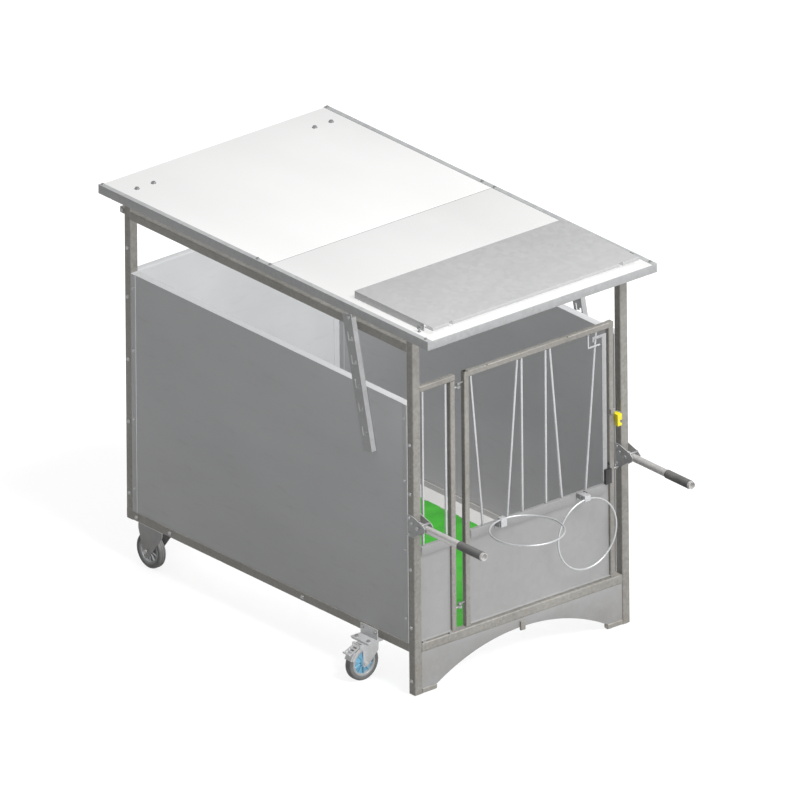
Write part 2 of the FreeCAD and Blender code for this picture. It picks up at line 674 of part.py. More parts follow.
# ---------------------------------------------------------------- roof stays
for side, name in ((-1, "left"), (1, "right")):
    lean = math.radians(SIZES["stay_lean"])

    def lay(item, along, across, x, away=lean):
        """Sets an object into the leaning line of the stay, below its pivot."""
        turn = FreeCAD.Rotation(FreeCAD.Vector(1, 0, 0), -SIZES["stay_lean"])
        item.Placement = FreeCAD.Placement(FreeCAD.Vector(0, 0, 0), turn)
        y = S.stay_pivot_back + across * math.cos(away) - along * math.sin(away)
        z = S.stay_pivot_height - across * math.sin(away) - along * math.cos(away)
        return put(item, x, y, z)

    def bar_block(x0, x1, across0, across1, along0, along1):
        item = fresh("Part::Box")
        item.setExpression("Length", (dim(x1) - x0).text)
        item.setExpression("Width", (dim(across1) - across0).text)
        item.setExpression("Height", (dim(along1) - along0).text)
        return lay(item, dim(along1), dim(across0), x0)

    f0 = stay_plate[side]
    f1 = f0 + S.stay_sheet
    e1 = f0 + S.stay_flange
    front_edge = -14
    side_plate = bar_block(f0, f1, front_edge, front_edge + S.stay_width, -14, S.stay_length - 14)
    front_plate = bar_block(f0, e1, front_edge, front_edge + S.stay_sheet, 2, S.stay_length - 14)
    half = S.stay_notch / 2
    tools = []
    for notch in range(5):
        # A J-shaped notch: an arm up at the front, a run across, and a narrow slit up at the back.
        along = S.stay_first_notch + S.stay_notch_pitch * notch
        tools.append(bar_block(f0 - 1, f1 + 1, -half, half, along - 12, along + half))
        tools.append(bar_block(f0 - 1, f1 + 1, -half, 27, along - 3, along + half))
        tools.append(bar_block(f0 - 1, f1 + 1, 21, 27, along - 32, along + half))
    tools.append(rod(4 + S.running_clearance, 8, "x", f0 - 2, S.stay_pivot_back, S.stay_pivot_height))
    node(f"roof_stay_{name}", cut(fuse([side_plate, front_plate]), tools))

# ---------------------------------------------------------------- weather visor
VH = RH - S.visor_inset
VF = -S.visor_front
VT = S.visor_top
vt = 2
hem = [
    (0, 0), (S.visor_length, 0), (S.visor_length, -vt), (vt, -vt), (vt, -S.visor_hem + vt),
    (S.visor_lip, -S.visor_hem + vt), (S.visor_lip, -S.visor_hem), (0, -S.visor_hem),
]
top_sheet = profile(hem, "YZ_Plane", 2 * VH, -VH, VF, VT)
flanges = []
for side in SIDES:
    x0, x1 = span(side, VH - vt, VH)
    y0, y1 = VF + S.visor_lip + 2, VF + S.visor_length
    flanges.append(block(x0, x1, y0, y1, VT - vt - S.visor_flange, VT - vt))
notch = [block(x - 9, x + 9, VF - 1, VF + 9, VT - S.visor_hem - 1, VT + 1) for x in (-VH + 97, VH - 97)]
node("visor_sheet", cut(fuse([top_sheet] + flanges), notch))
screws = []
for side in SIDES:
    x = side * (VH + 16)
    screws.append(fuse([
        rod(4, 18, "z", x, -38, RZ1 - t),
        rod(9, 5, "z", x, -38, RZ1 - t + 14),
        block(x - 2, x + 2, -50, -26, RZ1 - t + 16, RZ1 - t + 26),
        rod(8, 1.5, "z", x, -38, RZ1 - t),
    ]))
node("visor_thumb_screws", screws)

# ---------------------------------------------------------------- rear wheels in fixed brackets
WR = S.wheel_radius
WZ = WR - S.floor_clearance
WW = S.wheel_width
AXLE = S.axle_diameter / 2


def wheel(axis, x, y, z):
    """A tyre on a dished hub with a bored boss. The point is the middle of the wheel."""
    def at(offset):
        return (x - offset, y, z) if axis == "x" else (x, y - offset, z)

    tyre_out = rounded(rod(WR, WW, axis, *at(WW / 2)), (1, 3), 9.0)
    tyre = cut(tyre_out, rod(WR - S.tyre_depth, WW + 2, axis, *at(WW / 2 + 1)))
    rim = rod(WR - S.tyre_depth, WW - 4, axis, *at(WW / 2 - 2))
    hollow = cut(rod(WR - S.tyre_depth - 5, WW, axis, *at(WW / 2)), rod(18, WW + 2, axis, *at(WW / 2 + 1)))
    web = rod(WR - S.tyre_depth - 2, 8, axis, *at(4))
    boss = rod(18, WW, axis, *at(WW / 2))
    axle_way = rod(AXLE + S.running_clearance, WW + 4, axis, *at(WW / 2 + 2))
    hub = cut(fuse([cut(rim, hollow), web, boss]), axle_way)
    return [tyre, hub]


wheel_brackets = []
axles = []
RY = S.rear_wheel_back
outline = [
    (-103, S.rail_underside), (48, S.rail_underside), (48, S.rail_underside - 22),
    (13, WZ - 26), (0, WZ - 32),
    (-13, WZ - 26), (-103, S.rail_underside - 22),
]
for side in SIDES:
    plates = []
    for near in (HALF - 4, HALF - 58):
        x0, x1 = span(side, near, near + 4)
        plates.append(profile(outline, "YZ_Plane", 4, x0, RY, 0))
    x0, x1 = span(side, HALF - 58, HALF)
    bridge = block(x0, x1, RY - 103, RY + 48, S.rail_underside - 4, S.rail_underside)
    bore = rod(AXLE, 80, "x", x0 - 10, RY, WZ)
    wheel_brackets.append(cut(fuse(plates + [bridge]), bore))
    w0 = x0 - 3
    axle = fuse([
        rod(AXLE, 60, "x", w0, RY, WZ),
        hexagon(18, 7, "x", x0 - 7, RY, WZ),
        hexagon(18, 7, "x", x1, RY, WZ),
    ])
    axles.append(axle)
node("rear_wheel_brackets", wheel_brackets)
for side, name in ((-1, "left"), (1, "right")):
    node(f"rear_wheel_{name}", wheel("x", side * (HALF - 29), RY, WZ))

# ---------------------------------------------------------------- swivel castors with brakes
CY = S.castor_back
castor_brackets = []
CZ = S.rail_underside - 17
CASTOR = HALF + S.castor_outset
for side in SIDES:
    x0, x1 = span(side, HALF, HALF + 4)
    upright = block(x0, x1, CY - 54, CY + 54, CZ, S.rail_underside + 34)
    x0, x1 = span(side, HALF, HALF + 55)
    shelf_plate = block(x0, x1, CY - 58, CY + 58, CZ, CZ + 4)
    castor_brackets.append(fuse([upright, shelf_plate]))
    x0, x1 = span(side, HALF - 29, HALF + 55)
    plate = block(x0, x1, CY - 52, CY + 52, CZ - 5, CZ)
    stem = rod(8, 14, "z", side * CASTOR, CY, CZ - 19)
    castor_brackets.append(fuse([plate, stem]))
node("castor_brackets", castor_brackets)

for side, name in ((-1, "left"), (1, "right")):
    cx = side * CASTOR
    wx = side * (CASTOR + S.castor_trail)
    crown = fuse([
        rod(30, 7, "z", cx, CY, CZ - 13),
        block(*span(side, CASTOR - 40, CASTOR + 40), CY - 26, CY + 26, CZ - 16, CZ - 13),
    ])
    legs = []
    low = WZ - 14
    high = CZ - 13
    outline = [
        (-40, high), (44, high), (44, high + 5), (60, high + 5), (60, high - 12), (44, high - 26),
        (S.castor_trail + 13, low), (S.castor_trail - 13, low), (-38, high - 40),
    ]
    if side < 0:
        outline = [(-u, v) for u, v in outline]
    for near in (CY - 26, CY + 23):
        legs.append(profile(outline, "XZ_Plane", 3, cx, near, 0, True))
    bore = rod(8 + S.running_clearance, 30, "z", cx, CY, CZ - 22)
    axle_bore = rod(AXLE, 60, "y", wx, CY - 30, WZ)
    pin_bore = rod(3.5 + S.running_clearance, 60, "y", side * (CASTOR + 52), CY - 30, CZ - 15)
    fork = cut(fuse([crown] + legs), [bore, axle_bore, pin_bore])
    fork_axle = fuse([
        rod(AXLE, 58, "y", wx, CY - 29, WZ),
        hexagon(18, 6, "y", wx, CY - 32, WZ),
        hexagon(18, 6, "y", wx, CY + 26, WZ),
    ])
    node(f"castor_fork_{name}", [fork, fork_axle])
    node(f"castor_wheel_{name}", wheel("y", wx, CY, WZ))
    # Brake pedal: a ribbed tread plate on two arms that turn on a pin between the fork's cheeks.
    pz = CZ - 17
    px = CASTOR + 52
    slope = 23.5

    def tread(near, far, y0, y1, thick, rise):
        item = fresh("Part::Box")
        item.setExpression("Length", (dim(far) - near).text)
        item.setExpression("Width", (dim(y1) - y0).text)
        item.setExpression("Height", dim(thick).text)
        turn = slope if side > 0 else 180 - slope
        spin = FreeCAD.Rotation(FreeCAD.Vector(0, 1, 0), turn)
        item.Placement = FreeCAD.Placement(FreeCAD.Vector(0, 0, 0), spin)
        a = math.radians(slope)
        lift = rise if side > 0 else rise + thick
        out = px + near * math.cos(a) + lift * math.sin(a)
        up = pz - near * math.sin(a) + lift * math.cos(a)
        return put(item, side * out, y0, up)

    plate = tread(-4, 66, CY - 22, CY + 22, 3, 0)
    slots = [tread(near, near + 9, CY - 15, CY + 15, 9, -3) for near in (14, 30, 46)]
    rib = tread(60, 66, CY - 22, CY + 22, 7, 0)
    pedal = cut(fuse([plate, rib, rod(3.5, 52, "y", side * px, CY - 26, CZ - 15)]), slots)
    node(f"brake_pedal_{name}", pedal)

# ---------------------------------------------------------------- pins and fasteners of the frame
pins = []
for side in SIDES:
    # Stay pin on the top rail. It ends just short of the stay's notched plate.
    lean = math.radians(SIZES["stay_lean"])
    py = S.stay_pivot_back - S.stay_pin_drop * math.sin(lean)
    pz = S.stay_pivot_height - S.stay_pin_drop * math.cos(lean)
    x0 = stay_plate[side] + S.stay_sheet + 0.3 if side < 0 else dim(HALF)
    x1 = dim(-HALF) if side < 0 else stay_plate[side] - 0.3
    pins.append(rod(S.stay_pin / 2, x1 - x0, "x", x0, py, pz))
    # Stop rod above the handle, then the handle's pivot bolt.
    x0, x1 = span(side, INNER - plate_sheet, HALF + plate_sheet)
    pins.append(rod(5, S.post_size + 2 * plate_sheet, "x", x0, -54, HZ + 16.8 + 5))
    pivot = fuse([
        rod(5, S.post_size + 2 * plate_sheet, "x", x0, -S.handle_pivot_front, HZ),
        hexagon(16, 6, "x", x0 - 6, -S.handle_pivot_front, HZ),
        hexagon(16, 6, "x", x1, -S.handle_pivot_front, HZ),
    ])
    pins.append(pivot)
    # Roof hinge bolt behind the post.
    x0, x1 = span(side, INNER - 14, HALF)
    pins.append(fuse([
        rod(5, HALF - INNER + 14, "x", x0, HY, S.roof_hinge_height),
        hexagon(16, 6, "x", x0 - 6, HY, S.roof_hinge_height),
        hexagon(16, 6, "x", x1, HY, S.roof_hinge_height),
    ]))
node("frame_pins", pins + axles)

heads = []
for side in SIDES:
    face = side * HALF
    # Bolts down the outer faces of the posts.
    for z in (60, 300, 560, 900, 1120):
        heads.append(bolt("x", side, face, 20, z, 12, 4))
    for z in (300, 620, 900, 1180, 1400):
        heads.append(bolt("x", side, face, BACK - 20, z, 12, 4))
    # Bolts through the wall boards' edge profiles.
    for z in (330, 640, 950, 1230):
        heads.append(bolt("x", side, face, S.post_size + 14, z, 10, 3))
        heads.append(bolt("x", side, face, BACK - S.post_size - 14, z, 10, 3))
    # Bottom rail: one in the middle, two at the rear wheel bracket, two at the castor bracket.
    for y in (720, 1784, 1571):
        heads.append(bolt("x", side, face, y, S.rail_underside + 20, 13, 5))
    for y in (CY - 42, CY + 42):
        heads.append(bolt("x", side, side * (HALF + 4), y, S.rail_underside + 20, 13, 5))
    for y in (CY - 38, CY + 38):
        heads.append(bolt("z", 1, side * (HALF + 38), y, CZ + 4, 13, 5))
    # Handle bracket bolts on both plates.
    for y, z in ((25, HZ + 32), (25, HZ - 43), (8, HZ + 12)):
        heads.append(bolt("x", side, side * (HALF + plate_sheet), y, z, 12, 4))
        heads.append(bolt("x", -side, side * (INNER - plate_sheet), y, z, 12, 4))
    # Bolts of the floor's side profiles, inside the pen.
    for y in (300, 900, 1500):
        heads.append(bolt("x", -side, side * (INNER - strip_sheet), y, S.floor_top + 11, 10, 4))
for x in (-S.panel_right - S.gate_tube - 9, -INNER + 12):
    # Black clamps that hold the fixed panel on the bottom rail.
    heads.append(block(x - 8, x + 8, Y0 - 4, Y0 + 9, RAIL_TOP, RAIL_TOP + 7.5))
node("frame_bolts", heads)

roof_heads = []
for side in SIDES:
    for y in (960, 880, BACK + 105, -118):
        roof_heads.append(bolt("z", 1, side * (RH - 13), y, RZ1, 11, 4))
    for x in (INNER - 16, INNER - 104):
        roof_heads.append(bolt("z", 1, side * x, BACK - 18, RZ1 - t, 16, 6))
    # Pivot bolt of the roof stay, with its head outside the plate.
    face = stay_plate[side] - 0.3
    roof_heads.append(fuse([
        rod(4, S.stay_sheet + 4.8, "x", face, S.stay_pivot_back, S.stay_pivot_height),
        rod(8, 4, "x", face - 4, S.stay_pivot_back, S.stay_pivot_height),
    ]))
node("roof_bolts", roof_heads)

buffers = []
for side in SIDES:
    x0, x1 = span(side, HALF - 30, HALF - 10)
    plug = block(x0, x1, BACK, BACK + 10, S.rail_underside + 2, S.rail_underside + 36)
    buffers.append(rounded(plug, (5, 7), 4.0))
node("rear_buffers", buffers)

# ---------------------------------------------------------------- checks and output
doc.recompute()
for item in doc.Objects:
    if "Invalid" in item.State or "Error" in item.State:
        raise RuntimeError(f"{item.Name} ({item.Label}) failed: {item.State}")
total = 0
for item in NODES:
    shape = item.Shape
    if shape.isNull() or not shape.isValid():
        raise RuntimeError(f"{item.Label} has no valid shape")
    total += shape.Volume
    shape.exportStep(f"parts/{item.Label}.step")
    box = shape.BoundBox
    print(
        f"{item.Label:24s} solids {len(shape.Solids):3d} volume {shape.Volume / 1000:10.1f} cm3 "
        f"x {box.XMin:8.1f} {box.XMax:8.1f} y {box.YMin:8.1f} {box.YMax:8.1f} "
        f"z {box.ZMin:8.1f} {box.ZMax:8.1f}"
    )
print(len(NODES), "nodes")
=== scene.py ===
# %% [markdown]
# # A mobile calf pen, finished in Blender
# The pen is a box on wheels for one calf: insulated boards in a galvanised tube frame, a green panel floor,
# a hinged roof with a sliding weather visor, and a barred gate with two rings for feed buckets.
# The engineering model already fixes every size and joint. Here each piece gets its rounded edges, its
# small shop details and its surface. We start by loading that model and keeping the box it fills.

# %% Load the frame
import json
import math
import random

import bmesh
import bpy
from mathutils import Matrix, Vector


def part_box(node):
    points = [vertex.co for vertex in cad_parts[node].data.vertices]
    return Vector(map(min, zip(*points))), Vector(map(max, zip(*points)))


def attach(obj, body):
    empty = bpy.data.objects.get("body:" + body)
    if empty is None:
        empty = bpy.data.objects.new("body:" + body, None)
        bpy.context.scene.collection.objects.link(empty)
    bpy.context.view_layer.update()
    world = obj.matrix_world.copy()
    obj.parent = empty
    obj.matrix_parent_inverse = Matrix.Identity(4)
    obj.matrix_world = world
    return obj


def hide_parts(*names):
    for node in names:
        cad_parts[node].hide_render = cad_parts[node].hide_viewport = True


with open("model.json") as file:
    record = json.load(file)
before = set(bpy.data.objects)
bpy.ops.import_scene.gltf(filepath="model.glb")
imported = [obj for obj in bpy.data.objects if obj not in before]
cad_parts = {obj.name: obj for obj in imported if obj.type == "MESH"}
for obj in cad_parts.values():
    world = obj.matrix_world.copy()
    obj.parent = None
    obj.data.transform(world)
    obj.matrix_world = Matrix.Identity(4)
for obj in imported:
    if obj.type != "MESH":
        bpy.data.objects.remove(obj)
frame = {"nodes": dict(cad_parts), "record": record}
nodes = frame["nodes"]
body_of_node = {node: body for body, held in frame["record"]["behaviour"]["bodies"].items() for node in held}
slot_of_node = {part["node"]: part["material_slot"] for part in frame["record"]["subparts"]}
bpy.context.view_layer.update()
MM = 0.001

# %% [markdown]
# Shader maths reads best as plain sums. A small class wraps one socket, so that an expression such as
# `1 - mask * 0.4` adds the Math nodes it needs. A second class holds one finish: it adds any node with its
# settings first and its socket values after, and it sets the sockets of the final shader.

# %% Sums of sockets
class Wire:
    """One value that travels between shader nodes, written like a number."""

    def __init__(self, finish, socket):
        self.finish = finish
        self.socket = socket

    def maths(self, operation, *values):
        return self.finish.add("ShaderNodeMath", {"operation": operation}, dict(enumerate(values)))

    def __add__(self, other):
        return self.maths("ADD", self, other)

    def __radd__(self, other):
        return self.maths("ADD", other, self)

    def __sub__(self, other):
        return self.maths("SUBTRACT", self, other)

    def __rsub__(self, other):
        return self.maths("SUBTRACT", other, self)

    def __mul__(self, other):
        return self.maths("MULTIPLY", self, other)

    def __rmul__(self, other):
        return self.maths("MULTIPLY", other, self)

    def least(self, other):
        return self.maths("MINIMUM", self, other)


# %% One finish
class Finish:
    """A material built from nodes around one Principled shader."""

    def __init__(self, name):
        self.material = bpy.data.materials.new(name)
        self.material.use_nodes = True
        self.tree = self.material.node_tree
        self.shader = self.tree.nodes["Principled BSDF"]
        self.place = self.add("ShaderNodeTexCoord", out="Object")

    def add(self, kind, settings=None, values=None, out=0):
        """Adds a node: its settings first, then the values or links of its sockets."""
        made = self.tree.nodes.new(kind)
        for name, value in (settings or {}).items():
            setattr(made, name, value)
        for name, value in (values or {}).items():
            self.feed(made.inputs[name], value)
        return Wire(self, made.outputs[out])

    def feed(self, socket, value):
        if isinstance(value, Wire):
            self.tree.links.new(value.socket, socket)
        elif isinstance(value, tuple) and len(socket.default_value) == 4 and len(value) == 3:
            socket.default_value = (*value, 1)
        else:
            socket.default_value = value

    def mix(self, share, first, second):
        """A colour between two others."""
        return self.add("ShaderNodeMix", {"data_type": "RGBA"}, {0: share, 6: first, 7: second}, 2)

    def stretch(self, scale):
        """The piece's own coordinates, stretched, so that a pattern runs longer one way."""
        return self.add("ShaderNodeMapping", {"vector_type": "POINT"}, {"Vector": self.place, "Scale": scale})

    def noise(self, scale, detail=3.0, vector=None):
        values = {"Vector": vector or self.place, "Scale": scale, "Detail": detail, "Roughness": 0.6}
        return self.add("ShaderNodeTexNoise", None, values)

    def cells(self, scale):
        """Crystals, each with a colour of its own."""
        values = {"Vector": self.place, "Scale": scale}
        return self.add("ShaderNodeTexVoronoi", {"feature": "F1"}, values, "Color")

    def between(self, value, low, high):
        """A value moved from the range low..high to 0..1, and kept inside it."""
        values = {"Value": value, "From Min": low, "From Max": high}
        return self.add("ShaderNodeMapRange", {"clamp": True}, values)

    def height(self):
        """How high a point of the surface lies above the floor, in metres."""
        return self.add("ShaderNodeSeparateXYZ", None, {0: self.place}, "Z")

    def bump(self, height, distance, strength=1.0, under=None):
        values = {"Height": height, "Distance": distance, "Strength": strength}
        if under:
            values["Normal"] = under
        return self.add("ShaderNodeBump", None, values)

    def shade(self, **sockets):
        """Sets sockets of the final shader: base_color stands for Base Color."""
        for name, value in sockets.items():
            self.feed(self.shader.inputs[name.replace("_", " ").title()], value)
        return self


finishes = {}
print("shader helpers ready")

# %% [markdown]
# ## Finishes
# Galvanised steel is never one grey. Zinc freezes in crystals, which show as faint patches, called spangle,
# each turned another way. Handling leaves duller clouds, and dirt gathers near the floor. Voronoi cells give
# the crystals, a slow noise gives the clouds, and the height above the floor gives the splashed zone.

# %% Galvanised steel
def galvanised(name, dark, light, crystal, rough, metal, dirt=0.35):
    """Zinc on steel: crystals of a size in metres, clouds, fine scratches and splashes near the floor."""
    finish = Finish(name)
    spangle = finish.between(finish.cells(1 / crystal), 0.1, 0.9)
    clouds = finish.between(finish.noise(3.5, 4), 0.3, 0.7)
    fine = finish.noise(260, 2)
    blend = spangle * 0.45 + clouds * 0.4 + fine * 0.15
    zinc = finish.mix(blend, dark, light)
    low = finish.between(finish.height(), 0.30, 0.02)
    splashed = (low * finish.between(finish.noise(14, 5), 0.38, 0.72) * dirt).least(1.0)
    colour = finish.mix(splashed, zinc, (0.19, 0.155, 0.115))
    roughness = (rough + spangle * 0.10 - fine * 0.06 + splashed * 0.35).least(1.0)
    relief = finish.bump(fine, 0.00012, 0.5, finish.bump(spangle, 0.00006, 0.6))
    bare = metal * (1 - splashed * 0.7)
    return finish.shade(base_color=colour, roughness=roughness, metallic=bare, normal=relief)


# Each row: dark and light zinc, crystal size, roughness, how metallic, and dirt where it isn't the usual.
steels = {
    "frame_steel": ((0.205, 0.198, 0.180), (0.36, 0.349, 0.325), 0.012, 0.50, 0.18),
    "gate_steel": ((0.225, 0.215, 0.195), (0.385, 0.37, 0.345), 0.010, 0.48, 0.2),
    "galvanised_rod": ((0.47, 0.48, 0.49), (0.68, 0.69, 0.70), 0.006, 0.36, 0.4, 0.25),
    "galvanised_sheet": ((0.36, 0.365, 0.37), (0.49, 0.495, 0.50), 0.018, 0.46, 0.1),
    "visor_sheet": ((0.50, 0.50, 0.505), (0.56, 0.56, 0.565), 0.022, 0.44, 0.2),
    "handle_steel": ((0.50, 0.49, 0.48), (0.74, 0.73, 0.72), 0.008, 0.34, 0.4, 0.2),
    "castor_steel": ((0.46, 0.465, 0.475), (0.68, 0.685, 0.695), 0.004, 0.36, 0.25, 0.3),
    "fasteners": ((0.26, 0.262, 0.265), (0.46, 0.463, 0.467), 0.003, 0.32, 0.55, 0.3),
    "plate_sheet": ((0.295, 0.295, 0.295), (0.335, 0.335, 0.335), 0.026, 0.46, 0.15),
    "weld_zinc": ((0.20, 0.20, 0.20), (0.38, 0.38, 0.38), 0.002, 0.62, 0.4),
}
for name, settings in steels.items():
    finishes[name] = galvanised(name, *settings)
print("steels", sorted(finishes))

# %% [markdown]
# The walls and the roof are skins of glass-fibre plastic on foam. Such a skin is even but not dead flat:
# it has a faint orange peel, long soft waves from the press, and it picks up dust low down and fine
# scuffs where animals and brushes rub. The roof's skin is painted lighter than the walls': painted light
# for the top, which faces the sky. It also carries less dust, as rain washes it.

# %% Insulated boards
def board(name, dark, light, rough, dust):
    """A pressed plastic skin with orange peel, slow waves, dust and scuffs."""
    finish = Finish(name)
    peel = finish.noise(420, 1)
    wave = finish.noise(2.2, 2, finish.stretch((1.0, 0.35, 1.0)))
    scuff = finish.between(finish.noise(9, 8, finish.stretch((1.0, 1.0, 5.0))), 0.56, 0.78)
    low = finish.between(finish.height(), 0.75, 0.15)
    skin = finish.mix(finish.between(wave, 0.3, 0.7), dark, light)
    dusty = ((low * 0.6 + scuff * 0.5) * dust).least(1.0)
    colour = finish.mix(dusty, skin, (0.30, 0.265, 0.21))
    relief = finish.bump(peel, 0.00010, 0.45, finish.bump(wave, 0.0012, 0.35))
    return finish.shade(base_color=colour, roughness=rough + scuff * 0.15 + dusty * 0.2, normal=relief)


# Each row: dark and light skin, roughness and dust.
board_skins = {
    "wall_board": ((0.585, 0.595, 0.605), (0.665, 0.675, 0.685), 0.46, 0.20),
    # The roof's lighter skin is painted light for the top, which faces the sky.
    "roof_board": ((0.69, 0.69, 0.685), (0.73, 0.73, 0.725), 0.46, 0.04),
    "strip_sheet": ((0.62, 0.62, 0.62), (0.70, 0.70, 0.70), 0.40, 0.35),
}
for name, settings in board_skins.items():
    finishes[name] = board(name, *settings)
print("boards ready")

# %% [markdown]
# The floor panels are moulded in green plastic. Moulded plastic has a fine eroded grain and slight flow
# marks; hooves leave pale scratches on it, and straw dust lies in patches. Rubber is dark and matt, with grey
# dust in its pores. The small coloured parts are glossier, so they get a thin clear coat.

# %% Plastics and rubber
def moulded(name, dark, light, rough, grain, dust_colour, dust, coat=0.0):
    """Moulded plastic or rubber: eroded grain, flow marks, scratches and dust."""
    finish = Finish(name)
    flow = finish.between(finish.noise(11, 3), 0.32, 0.68)
    erode = finish.noise(1 / grain, 2)
    scratch = finish.between(finish.noise(60, 6, finish.stretch((6.0, 0.6, 2.0))), 0.60, 0.72)
    patch = finish.between(finish.noise(7, 6), 0.45, 0.75)
    body = finish.mix(flow, dark, light)
    dusty = ((patch * 0.7 + scratch * 0.6) * dust).least(1.0)
    colour = finish.mix(dusty, body, dust_colour)
    relief = finish.bump(erode, grain * 0.2, 0.5)
    roughness = (rough + dusty * 0.3 - scratch * 0.05).least(1.0)
    finish.shade(base_color=colour, roughness=roughness, normal=relief)
    finish.shader.inputs["Coat Weight"].default_value = coat
    return finish


straw = (0.42, 0.40, 0.24)
grey_dust = (0.30, 0.29, 0.27)
pale_dust = (0.62, 0.66, 0.68)
# Each row: dark and light body, roughness, grain size, dust colour, dust and clear coat.
plastics = {
    "floor_plastic": ((0.035, 0.33, 0.022), (0.055, 0.42, 0.034), 0.42, 0.0012, straw, 0.18),
    "grip_rubber": ((0.075, 0.075, 0.075), (0.125, 0.124, 0.122), 0.62, 0.0008, grey_dust, 0.35),
    "wheel_rubber": ((0.12, 0.12, 0.121), (0.185, 0.184, 0.182), 0.66, 0.0010, grey_dust, 0.45),
    "black_plastic": ((0.018, 0.018, 0.019), (0.032, 0.032, 0.033), 0.38, 0.0006, grey_dust, 0.15),
    "catch_yellow": ((0.78, 0.66, 0.004), (0.92, 0.80, 0.012), 0.30, 0.0006, grey_dust, 0.12, 0.4),
    "buffer_red": ((0.46, 0.02, 0.015), (0.60, 0.04, 0.025), 0.42, 0.0006, grey_dust, 0.2, 0.2),
    "hub_blue": ((0.13, 0.33, 0.47), (0.27, 0.52, 0.66), 0.28, 0.0007, pale_dust, 0.35, 0.5),
    "hub_grey": ((0.20, 0.205, 0.21), (0.30, 0.305, 0.31), 0.40, 0.0007, grey_dust, 0.35, 0.1),
    "rim_light": ((0.30, 0.31, 0.31), (0.42, 0.43, 0.43), 0.38, 0.0008, grey_dust, 0.3, 0.1),
}
for name, settings in plastics.items():
    finishes[name] = moulded(name, *settings)
print("finishes", len(finishes))

# %% [markdown]
# ## Rounded edges on the frame pieces
# No real tube, sheet or board has a knife edge, and the thin bright line that a rounded edge catches is what
# makes a piece look made. The frame's meshes are loose triangles, so each piece is copied, its triangles are
# merged back into flat faces, and a Bevel modifier rounds the edges. A weight on each edge sets how much:
# long edges of a tube get its full corner radius, short ones a small break. Edges too close to a
# neighbour are left sharp, so that the roundings never run into each other.

# %% Rounding helper
shown_finish = {
    "wall_edge_profiles": "wall_board",
    "gate_mid_rail": "plate_sheet",
    "fixed_panel_mid_rail": "plate_sheet",
    "rear_wheel_brackets": "plate_sheet",
}
# What counts as a sharp edge, a flat face and one point, and how much room a rounding needs.
SHARP = math.radians(32)
FLAT = math.radians(0.8)
SAME_POINT = 0.000004
SAME_SPUN_POINT = 0.00001
ROOM = 2.3
NEARLY_ALONG = 0.77


def only(*pieces):
    """Selects these objects alone, the first of them active."""
    if bpy.context.object and bpy.context.object.mode != "OBJECT":
        bpy.ops.object.mode_set(mode="OBJECT")
    bpy.ops.object.select_all(action="DESELECT")
    for piece in pieces:
        piece.select_set(True)
    bpy.context.view_layer.objects.active = pieces[0]


def has_room(edge, radius):
    """Whether an edge can be rounded by a radius without meeting the next sharp edge."""
    for corner in edge.verts:
        along = (edge.other_vert(corner).co - corner.co).normalized()
        for other in corner.link_edges:
            if other is edge or len(other.link_faces) != 2 or other.calc_face_angle(0) < SHARP:
                continue
            turn = (other.other_vert(corner).co - corner.co).normalized()
            if abs(turn.dot(along)) < NEARLY_ALONG and other.calc_length() < ROOM * radius:
                return False
    return True


def weigh_edges(mesh, radius, small, long_edge):
    """Gives each sharp edge its share of the radius, and returns how many are rounded."""
    shape = bmesh.new()
    shape.from_mesh(mesh)
    weight = shape.edges.layers.float.new("bevel_weight_edge")
    rounded = 0
    for edge in shape.edges:
        if len(edge.link_faces) != 2 or edge.calc_face_angle(0) < SHARP:
            continue
        if edge.calc_length() >= long_edge and has_room(edge, radius):
            edge[weight] = 1.0
        elif has_room(edge, small):
            edge[weight] = small / radius
        rounded += edge[weight] > 0
    shape.to_mesh(mesh)
    shape.free()
    return rounded


def dress(piece, finish, angle=35):
    """Gives a piece its finish and smooth shading across soft edges."""
    only(piece)
    piece.data.materials.clear()
    piece.data.materials.append(finishes[finish].material)
    bpy.ops.object.shade_smooth_by_angle(angle=math.radians(angle))


def merged(node, name):
    """A copy of a frame piece with its triangles merged into flat faces."""
    piece = bpy.data.objects.new(name, nodes[node].data.copy())
    bpy.context.scene.collection.objects.link(piece)
    only(piece)
    bpy.ops.mesh.customdata_custom_splitnormals_clear()
    bpy.ops.object.mode_set(mode="EDIT")
    bpy.ops.mesh.select_all(action="SELECT")
    bpy.ops.mesh.remove_doubles(threshold=SAME_POINT)
    bpy.ops.mesh.dissolve_limited(angle_limit=FLAT)
    bpy.ops.object.mode_set(mode="OBJECT")
    return piece


def settle(piece, node, finish=None):
    """Lets a piece stand for a frame piece and ride on its body."""
    finish = finish or shown_finish.get(node, slot_of_node[node])
    dress(piece, finish)
    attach(piece, body_of_node[node])
    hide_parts(node)


def rounded_piece(node, radius, small=0.0004, long_edge=0.08, steps=3):
    """A frame piece with rounded edges."""
    piece = merged(node, f"{node}_made")
    count = weigh_edges(piece.data, radius, small, long_edge)
    if count:
        bevel = piece.modifiers.new("edges", "BEVEL")
        bevel.width = radius
        bevel.segments = steps
        bevel.limit_method = "WEIGHT"
        bevel.use_clamp_overlap = False
        bpy.ops.object.modifier_apply(modifier=bevel.name)
    settle(piece, node)
    return count


print("rounding helpers ready")

